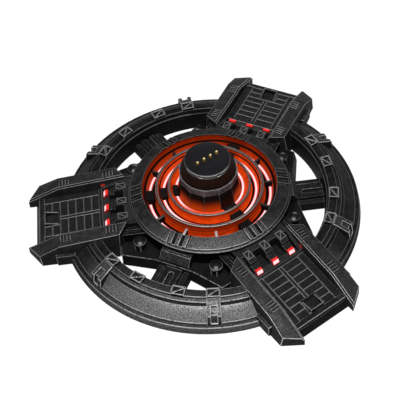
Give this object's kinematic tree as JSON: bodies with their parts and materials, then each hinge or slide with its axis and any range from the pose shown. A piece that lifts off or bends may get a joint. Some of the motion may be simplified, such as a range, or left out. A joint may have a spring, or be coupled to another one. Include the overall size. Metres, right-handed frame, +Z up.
{
  "type": "charging dock",
  "caption": "Low round charging dock: a cast ring with ramp arms, a lit stepped well and a centre post with a row of spring contacts under a device.",
  "frame": {"origin": "on the dock's axis, at the table under the hub's pad", "axes": "+Z up along the post; -Y runs along the front arm; +X completes a right-handed frame"},
  "size_m": [0.1382, 0.1331, 0.0316],
  "materials": {
    "ring_casting": "grainy cast paint, edges worn bright",
    "dark_casting": "matte charcoal paint, edges worn bright",
    "worn_casting": "grainy cast paint, worn all over",
    "lit_liner": "translucent, lit from behind",
    "light_strip": "diffuser, lit",
    "red_lens": "clear lens, lit",
    "circuit_board": "solder mask",
    "neck_plastic": "smoked translucent",
    "black_plastic": "fine matte",
    "gold_contact": "gold plate",
    "bright_steel": "plain",
    "soft_rubber": "matte"
  },
  "bodies": {
    "dock": {"base_ring": "ring_casting", "ring_plates": "dark_casting", "ring_straps": "dark_casting", "spoke_rear": "dark_casting", "spoke_left": "dark_casting", "spoke_right": "dark_casting", "spoke_planks": "dark_casting", "hub_plate": "dark_casting", "arm_body_front": "dark_casting", "arm_body_right": "dark_casting", "arm_body_left": "dark_casting", "deck_front": "dark_casting", "deck_right": "dark_casting", "deck_left": "dark_casting", "rails_front": "dark_casting", "rails_right": "dark_casting", "rails_left": "dark_casting", "light_frame_front": "dark_casting", "light_frame_right": "dark_casting", "light_frame_left": "dark_casting", "rail_gussets": "dark_casting", "hub_housing": "dark_casting", "channel_dividers": "dark_casting", "pedestal": "dark_casting", "bottom_cover": "dark_casting", "spoke_blocks": "worn_casting", "guide_knobs": "worn_casting", "hub_collar": "worn_casting", "collar_clamps": "worn_casting", "middle_ring": "worn_casting", "inner_ring": "worn_casting", "pedestal_band": "worn_casting", "head_ring": "worn_casting", "light_liner": "lit_liner", "outer_light_strip": "light_strip", "middle_light_strip": "light_strip", "inner_light_strip": "light_strip", "lenses": "red_lens", "lens_boards": "circuit_board", "light_board": "circuit_board", "pin_board": "circuit_board", "main_board": "circuit_board", "neck": "neck_plastic", "contact_disc": "black_plastic", "pin_barrels": "gold_contact", "head_magnets": "bright_steel", "pin_spring_1": "bright_steel", "pin_spring_2": "bright_steel", "pin_spring_3": "bright_steel", "pin_spring_4": "bright_steel", "cover_screws": "bright_steel", "power_socket": "bright_steel", "foot_pads": "soft_rubber", "power_lead": "soft_rubber"},
    "contact_1": {"plunger_1": "gold_contact"},
    "contact_2": {"plunger_2": "gold_contact"},
    "contact_3": {"plunger_3": "gold_contact"},
    "contact_4": {"plunger_4": "gold_contact"}
  },
  "joints": [
    {"name": "contact_1_press", "type": "slide", "parent": "dock", "child": "contact_1", "axis": [0, 0, -1], "range_m": [0, 0.001], "stiffness_N_per_m": 400, "springref_m": -0.0008, "deforming": ["pin_spring_1"]},
    {"name": "contact_2_press", "type": "slide", "parent": "dock", "child": "contact_2", "axis": [0, 0, -1], "range_m": [0, 0.001], "stiffness_N_per_m": 400, "springref_m": -0.0008, "deforming": ["pin_spring_2"]},
    {"name": "contact_3_press", "type": "slide", "parent": "dock", "child": "contact_3", "axis": [0, 0, -1], "range_m": [0, 0.001], "stiffness_N_per_m": 400, "springref_m": -0.0008, "deforming": ["pin_spring_3"]},
    {"name": "contact_4_press", "type": "slide", "parent": "dock", "child": "contact_4", "axis": [0, 0, -1], "range_m": [0, 0.001], "stiffness_N_per_m": 400, "springref_m": -0.0008, "deforming": ["pin_spring_4"]}
  ]
}
